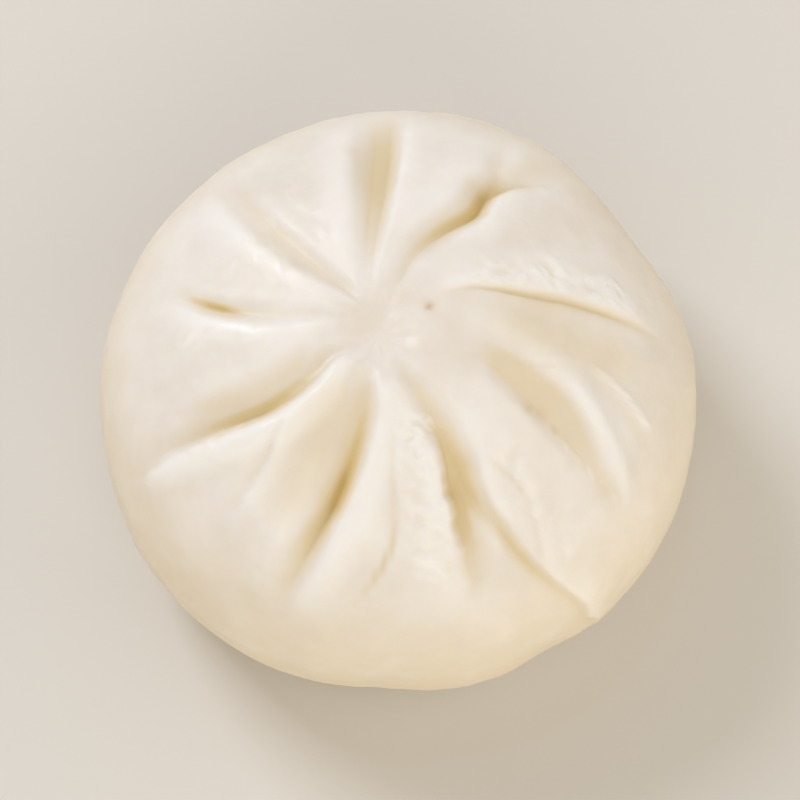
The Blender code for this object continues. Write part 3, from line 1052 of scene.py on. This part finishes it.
@dataclass
class BunMesh:
    """The grid of the skin, from the knot down to the base.

    Attributes:
        skin: The pleated skin.
        columns_per_degree: How closely the columns stand in the middle of the crown.
        least_columns: The fewest columns from one fold to the next.
        least_gap: The fewest degrees from one fold's column to the next.
        crowding: How strongly the columns are drawn towards the folds.
        crown_rows: Rows from the knot to the waist.
        skirt_rows: Rows from the waist to the base.
        first_share: The share out of the first row.
    """

    skin: PleatedSkin = field(default_factory=PleatedSkin)
    columns_per_degree: float = 1.12
    least_columns: int = 22
    least_gap: float = 4.5
    crowding: float = 0.10
    crown_rows: int = 200
    skirt_rows: int = 30
    first_share: float = 0.02

    def fold_lines(self, share: float) -> Array:
        """Finds the main folds.

        Args:
            share: The share out.

        Returns:
            Their directions there, and the first one's again after a full turn.
        """
        lines = np.array([fold.track.angle(share) for fold in self.skin.folds], float)
        steps = self.least_gap * np.arange(len(lines))
        lines = np.maximum.accumulate(lines - steps) + steps
        return np.append(lines, lines[0] + 360.0)

    def column_angles(self, share: float) -> Array:
        """Lays out the columns, so that every fold has one on its line.

        Args:
            share: The share out.

        Returns:
            Their directions there.
        """
        lines = self.fold_lines(share)
        columns = []
        for k, middle_gap in enumerate(np.diff(self.fold_lines(0.5))):
            count = max(int(round(middle_gap * self.columns_per_degree)), self.least_columns)
            t = np.arange(count) / count
            t = t - self.crowding * np.sin(2 * np.pi * t)
            columns.append(lines[k] + (lines[k + 1] - lines[k]) * t)
        return np.concatenate(columns)

    def grid(self) -> Grid:
        """Lays out the rows and columns.

        Returns:
            The grid's points.
        """
        power = self.skin.form.crown_power
        turns = np.linspace(np.arcsin(self.first_share ** (power / 2)), np.pi / 2, self.crown_rows)
        rows = [(self.column_angles(share), share, 0.0) for share in np.sin(turns) ** (2 / power)]
        power = self.skin.form.skirt_power
        for turn in np.linspace(0, np.pi / 2, self.skirt_rows + 1)[1:]:
            rows.append((self.column_angles(1.0), 1.0, np.sin(turn) ** (2 / power)))
        degrees = np.array([row[0] for row in rows])
        share, skirt = (np.broadcast_to([[row[k]] for row in rows], degrees.shape) for k in (1, 2))
        return Grid(degrees, share, skirt)

    def fitted(self, points: Array) -> Array:
        """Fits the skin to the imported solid's box, which it fills but for fractions of a millimetre.

        Args:
            points: The skin's points.

        Returns:
            The points, brought to the box.
        """
        low, high = points.reshape(-1, 3).min(axis=0), points.reshape(-1, 3).max(axis=0)
        box_low, box_high = (np.array(corner) for corner in CAD_BOX)
        return box_low + (points - low) * (box_high - box_low) / (high - low)

    def build(self, name: str) -> bpy.types.Object:
        """Makes the closed mesh.

        Args:
            name: The piece's name.

        Returns:
            The object, with the skin's values as point attributes.
        """
        surface = self.skin.surface(self.grid())
        points = surface.pop("points")
        points[-1, :, 2] = 0.0
        points = self.fitted(points)
        rows, columns = points.shape[:2]
        vertices = np.vstack([points.reshape(-1, 3), points[0].mean(axis=0)])
        knot = rows * columns
        first = np.arange(columns)
        after = (first + 1) % columns
        faces = [(knot, int(a), int(b)) for a, b in zip(first, after)]
        for row in range(rows - 1):
            upper, lower = row * columns, (row + 1) * columns
            quads = np.stack([upper + first, lower + first, lower + after, upper + after], -1)
            faces.extend(map(tuple, quads.tolist()))
        faces.append(tuple(int(k) for k in (rows - 1) * columns + first[::-1]))
        mesh = bpy.data.meshes.new(name)
        mesh.from_pydata(vertices.tolist(), [], faces)
        mesh.validate()
        for key, values in surface.items():
            values = np.append(values.reshape(-1), values[0].mean())
            attribute = mesh.attributes.new(key, "FLOAT", "POINT")
            attribute.data.foreach_set("value", values.astype(np.float32))
        mesh.shade_smooth()
        return add_object(name, mesh)


@dataclass
class NodeGraph:
    """A small helper for laying material nodes.

    Attributes:
        material: The material whose nodes are laid.
    """

    material: bpy.types.Material

    @property
    def shader(self) -> bpy.types.Node:
        """The material's own shader."""
        return self.material.node_tree.nodes["Principled BSDF"]

    def add(self, kind: str, inputs: dict[str, object] | None = None, **settings: object) -> bpy.types.Node:
        """Adds a node.

        Args:
            kind: Blender's name for the node.
            inputs: Values for its inputs.
            **settings: Properties to set on it.

        Returns:
            The node.
        """
        node = self.material.node_tree.nodes.new(kind)
        for key, value in settings.items():
            setattr(node, key, value)
        self.fill(node, inputs or {})
        return node

    def fill(self, node: bpy.types.Node, inputs: dict[str, object]) -> None:
        """Sets the node's inputs to the values."""
        for key, value in inputs.items():
            node.inputs[key].default_value = value

    def link(self, source: Socket, target: Socket) -> None:
        """Joins two sockets."""
        self.material.node_tree.links.new(source, target)

    def attribute(self, name: str) -> Socket:
        """Reads one of the mesh's point attributes."""
        node = self.add("ShaderNodeAttribute", attribute_name=name, attribute_type="GEOMETRY")
        return node.outputs["Fac"]

    def noise(self, scale: float, detail: float = 2.0, roughness: float = 0.5) -> Socket:
        """Lays noise in the object's own space.

        Args:
            scale: How many swells it has to the metre.
            detail: How many finer layers it has.
            roughness: How strong those are.

        Returns:
            Its value.
        """
        place = self.add("ShaderNodeTexCoord").outputs["Object"]
        node = self.add("ShaderNodeTexNoise", {"Scale": scale, "Detail": detail, "Roughness": roughness})
        self.link(place, node.inputs["Vector"])
        return node.outputs["Fac"]

    def combine(self, operation: str, first: Socket, second: Socket) -> Socket:
        """Works out a sum or product of two values.

        Args:
            operation: Blender's name for what is done.
            first: The first value.
            second: The second value.

        Returns:
            The result.
        """
        node = self.add("ShaderNodeMath", operation=operation)
        self.link(first, node.inputs[0])
        self.link(second, node.inputs[1])
        return node.outputs["Value"]

    def spread(self, value: Socket, low: float, high: float, to: tuple[float, float]) -> Socket:
        """Maps a range of values onto another range.

        Args:
            value: The value to map.
            low: What becomes the new range's start.
            high: What becomes its end.
            to: The new range.

        Returns:
            The mapped value.
        """
        ends = {"From Min": low, "From Max": high, "To Min": to[0], "To Max": to[1]}
        node = self.add("ShaderNodeMapRange", ends, clamp=True)
        self.link(value, node.inputs["Value"])
        return node.outputs["Result"]

    def blend(self, share: Socket, first: Socket | Colour, second: Colour) -> Socket:
        """Mixes two colours.

        Args:
            share: How much of the second colour shows.
            first: A colour, or a socket that gives one.
            second: The other colour.

        Returns:
            The mixed colour.
        """
        node = self.add("ShaderNodeMix", {"B": (*second, 1.0)}, data_type="RGBA", clamp_factor=True)
        self.link(share, node.inputs["Factor"])
        if isinstance(first, tuple):
            node.inputs["A"].default_value = (*first, 1.0)
        else:
            self.link(first, node.inputs["A"])
        return node.outputs["Result"]

    def bump(self, height: Socket, strength: float, distance: float) -> bpy.types.Node:
        """Lays a bump.

        Args:
            height: The value that gives its height.
            strength: How strongly it shows.
            distance: Its height where the value is 1.

        Returns:
            The node.
        """
        node = self.add("ShaderNodeBump", {"Strength": strength, "Distance": distance})
        self.link(height, node.inputs["Height"])
        return node


@dataclass(frozen=True)
class DoughFinish:
    """Steamed white dough: a satin skin, a little translucent, with shade painted into the folds.

    Attributes:
        cream: The general colour.
        pale: A paler colour that the skin mottles towards at random.
        white: The colour of the highlight painted on ridges and on the tops of the wrinkles.
        lower_shade: Painted warm shade and bounce towards the waist.
        edge_shade: Darker painted warm shade and bounce round the waist and below it.
        hollow_shade: Painted shade in the hollows.
        deep_fold_shade: Painted shade deep in the folds.
        brown: The colour of the spots: painted shade in the pit, and the tint of the small marks.
        roughness: Dull to shiny, in the middle.
        gloss: How much the skin reflects.
        damp: How much glossier crinkled skin is.
        film: How much of a thin clear film shows, and its roughness.
        translucence: How much light goes into the dough.
        reach: How far each colour of it goes in there, as a share of the depth.
        depth: How deep it goes.
        bumps: The height of the fine bumps in the skin.
        bump_strength: How strongly they show.
    """

    cream: Colour = (0.825, 0.775, 0.715)
    pale: Colour = (0.895, 0.865, 0.835)
    # Painted highlight colour, laid on ridges and on the wrinkles' tops.
    white: Colour = (0.965, 0.947, 0.93)
    # Painted shade and warm bounce colours: towards the waist, in hollows and deep in folds.
    lower_shade: Colour = (0.82, 0.725, 0.57)
    edge_shade: Colour = (0.81, 0.70, 0.53)
    hollow_shade: Colour = (0.775, 0.66, 0.45)
    deep_fold_shade: Colour = (0.70, 0.53, 0.22)
    # Tints the spots; in the pit it is painted shade.
    brown: Colour = (0.58, 0.34, 0.08)
    roughness: float = 0.46
    gloss: float = 0.42
    damp: float = 0.16
    film: tuple[float, float] = (0.10, 0.28)
    translucence: float = 0.50
    reach: Colour = (1.0, 0.88, 0.60)
    depth: float = 0.6 * MM
    bumps: float = 0.06 * MM
    bump_strength: float = 0.6

    def colour(self, graph: NodeGraph) -> Socket:
        """Mixes the dough's colour: cream mottled towards pale, with painted shade, bounce and highlight and
        the spots' tint where the mesh's attributes say.

        Args:
            graph: Where the nodes are laid.

        Returns:
            The colour.
        """
        # Painted light: warm shade and bounce towards the waist, highlight on ridges, shade in folds and
        # hollows, and highlight on the wrinkles' tops.
        tints = (
            ("low", 0.0, 0.6, 0.9, self.lower_shade),
            ("low", 0.5, 1.0, 1.0, self.edge_shade),
            ("crest_highlight", 0.0, 1.0, 0.85, self.white),
            ("painted_shade", 0.04, 0.5, 0.9, self.hollow_shade),
            ("painted_shade", 0.45, 1.0, 0.9, self.deep_fold_shade),
            ("crinkled", 0.25, 0.9, 0.9, self.white),
        )
        mottle = graph.spread(graph.noise(scale=95.0, detail=3.0), 0.35, 0.65, (0.0, 1.0))
        colour = graph.blend(mottle, self.cream, self.pale)
        for name, start, end, most, tint in tints:
            colour = graph.blend(graph.spread(graph.attribute(name), start, end, (0.0, most)), colour, tint)
        return graph.blend(graph.attribute("spot_tint"), colour, self.brown)

    def sheen(self, graph: NodeGraph) -> Socket:
        """Works out the roughness: uneven, and less where the skin is crinkled.

        Args:
            graph: Where the nodes are laid.

        Returns:
            The roughness.
        """
        ends = (self.roughness - 0.06, self.roughness + 0.08)
        dull = graph.spread(graph.noise(scale=420.0), 0.3, 0.7, ends)
        damp = graph.spread(graph.attribute("crinkled"), 0.0, 1.0, (0.0, self.damp))
        return graph.combine("SUBTRACT", dull, damp)

    def relief(self, graph: NodeGraph) -> Socket:
        """Lays the fine bumps, stronger where the skin is crinkled, over broader ones.

        Args:
            graph: Where the nodes are laid.

        Returns:
            The bumped skin's facing.
        """
        height = graph.spread(graph.attribute("crinkled"), 0.0, 1.0, (0.5, 2.4))
        height = graph.combine("MULTIPLY", graph.noise(scale=1000.0, detail=3.0, roughness=0.6), height)
        fine = graph.bump(height, self.bump_strength, self.bumps)
        broad = graph.bump(graph.noise(scale=330.0), self.bump_strength, 3 * self.bumps)
        graph.link(fine.outputs["Normal"], broad.inputs["Normal"])
        return broad.outputs["Normal"]

    def material(self) -> bpy.types.Material:
        """Makes the material.

        Returns:
            The material.
        """
        material = bpy.data.materials.new("steamed_dough")
        material.use_nodes = True
        graph = NodeGraph(material)
        graph.fill(graph.shader, {
            "Subsurface Weight": self.translucence,
            "Subsurface Radius": self.reach,
            "Subsurface Scale": self.depth,
            "Specular IOR Level": self.gloss,
            "Coat Weight": self.film[0],
            "Coat Roughness": self.film[1],
        })
        graph.link(self.colour(graph), graph.shader.inputs["Base Color"])
        graph.link(self.sheen(graph), graph.shader.inputs["Roughness"])
        graph.link(self.relief(graph), graph.shader.inputs["Normal"])
        return material


@dataclass(frozen=True)
class FloorFinish:
    """A plain pale matt surface.

    Attributes:
        colour: Its colour.
        shade: How bright its darker parts are, as a share of that.
        roughness: How dull it is.
        gloss: How much it reflects.
    """

    colour: Colour = (0.74, 0.725, 0.70)
    shade: float = 0.92
    roughness: float = 0.75
    gloss: float = 0.25

    def material(self) -> bpy.types.Material:
        """Makes the material.

        Returns:
            The material.
        """
        material = bpy.data.materials.new("pale_floor")
        material.use_nodes = True
        graph = NodeGraph(material)
        tone = graph.spread(graph.noise(scale=9.0, detail=3.0), 0.3, 0.7, (0.0, 0.10))
        darker = tuple(self.shade * part for part in self.colour)
        graph.link(graph.blend(tone, self.colour, darker), graph.shader.inputs["Base Color"])
        graph.fill(graph.shader, {"Roughness": self.roughness, "Specular IOR Level": self.gloss})
        return material


@dataclass
class Bun:
    """The steamed bun: its mesh and its finish.

    Attributes:
        mesh: The skin's grid.
        finish: The dough.
    """

    mesh: BunMesh = field(default_factory=BunMesh)
    finish: DoughFinish = field(default_factory=DoughFinish)

    def build(self) -> bpy.types.Object:
        """Builds and dresses the bun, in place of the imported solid.

        Returns:
            The bun's object.
        """
        bun = self.mesh.build("pleated_bun")
        bun.data.materials.append(self.finish.material())
        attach(bun, "root")
        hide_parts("bun")
        log.info("bun: %d points, %d faces", len(bun.data.vertices), len(bun.data.polygons))
        return bun


@dataclass
class Softbox:
    """A square area light that points at the bun.

    Attributes:
        name: What it is called.
        place: Where it stands.
        size: The length of its side.
        power: Its power in watts.
        colour: The light's colour.
    """

    name: str
    place: tuple[float, float, float]
    size: float
    power: float
    colour: Colour = (1.0, 1.0, 1.0)

    def build(self, aim: Vector) -> bpy.types.Object:
        """Sets the light up.

        Args:
            aim: The point that it faces.

        Returns:
            The light's object.
        """
        data = bpy.data.lights.new(self.name, "AREA")
        data.size = self.size
        data.energy = self.power
        data.color = self.colour
        light = add_object(self.name, data)
        light.location = self.place
        light.rotation_euler = (aim - Vector(self.place)).to_track_quat("-Z", "Y").to_euler()
        return light


@dataclass
class Studio:
    """The floor, the lights and the camera.

    Attributes:
        floor_size: The floor's side.
        floor_finish: The floor's finish.
        softboxes: The lights.
        surround: The colour of the even light all round.
        surround_strength: Its strength.
        elevation: The camera's height above the horizontal, in degrees.
        distance: From the camera to the aim.
        sight: How far the camera sees.
        view_width: How much the frame spans at the aim.
        sensor_width: The camera's sensor, in millimetres.
        aim: The point that the camera looks at.
    """

    floor_size: float = 4.0
    floor_finish: FloorFinish = field(default_factory=FloorFinish)
    softboxes: tuple[Softbox, ...] = (
        Softbox("back_light", (-0.10, 0.62, 0.75), 1.00, 1.3, (0.72, 0.86, 1.0)),
        Softbox("key_light", (-0.43, 0.43, 0.56), 0.30, 3.15, (0.885, 0.92, 1.0)),
        Softbox("front_light", (0.05, -0.75, 0.28), 0.90, 4.0, (0.93, 0.93, 0.90)),
        Softbox("side_light", (0.75, -0.10, 0.30), 0.80, 2.2, (0.99, 0.96, 0.91)),
    )
    surround: Colour = (1.0, 0.84, 0.63)
    surround_strength: float = 0.42
    elevation: float = 70.0
    distance: float = 0.60
    sight: float = 20.0
    view_width: float = 110 * MM
    sensor_width: float = 36.0
    aim: Vector = field(default_factory=lambda: Vector((0.26 * MM, -0.54 * MM, 16.9 * MM)))

    def lay_floor(self) -> bpy.types.Object:
        """Lays the floor that the bun stands on.

        Returns:
            The floor's object.
        """
        half = self.floor_size / 2
        mesh = bpy.data.meshes.new("floor")
        corners = [(-half, -half, 0.0), (half, -half, 0.0), (half, half, 0.0), (-half, half, 0.0)]
        mesh.from_pydata(corners, [], [(0, 1, 2, 3)])
        mesh.materials.append(self.floor_finish.material())
        floor = add_object("floor", mesh)
        return floor

    def light(self) -> None:
        """Sets up the softboxes and the even light all round."""
        for softbox in self.softboxes:
            softbox.build(self.aim)
        world = bpy.data.worlds.new("surround")
        world.use_nodes = True
        background = world.node_tree.nodes["Background"]
        background.inputs["Color"].default_value = (*self.surround, 1.0)
        background.inputs["Strength"].default_value = self.surround_strength
        bpy.context.scene.world = world

    def set_camera(self) -> bpy.types.Object:
        """Stands the camera at the viewing angle and makes it the scene's.

        Returns:
            The camera's object.
        """
        rise = math.radians(self.elevation)
        data = bpy.data.cameras.new("camera")
        data.sensor_width = self.sensor_width
        data.lens = self.sensor_width * self.distance / self.view_width
        data.clip_end = self.sight
        camera = add_object("camera", data)
        camera.location = self.aim + self.distance * Vector((0.0, -math.cos(rise), math.sin(rise)))
        camera.rotation_euler = (math.pi / 2 - rise, 0.0, 0.0)
        bpy.context.scene.camera = camera
        return camera

    def build(self) -> None:
        """Stands the camera, lays the floor and sets the lights."""
        self.set_camera()
        self.lay_floor()
        self.light()
        bpy.context.scene.view_settings.view_transform = "Standard"
        log.info("studio: %d softboxes, camera %.0f degrees up", len(self.softboxes), self.elevation)


def main() -> None:
    """Builds the bun and the studio round it."""
    logging.basicConfig(level=logging.INFO, format="%(name)s: %(message)s")
    Bun().build()
    Studio().build()


if __name__ == "__main__":
    main()
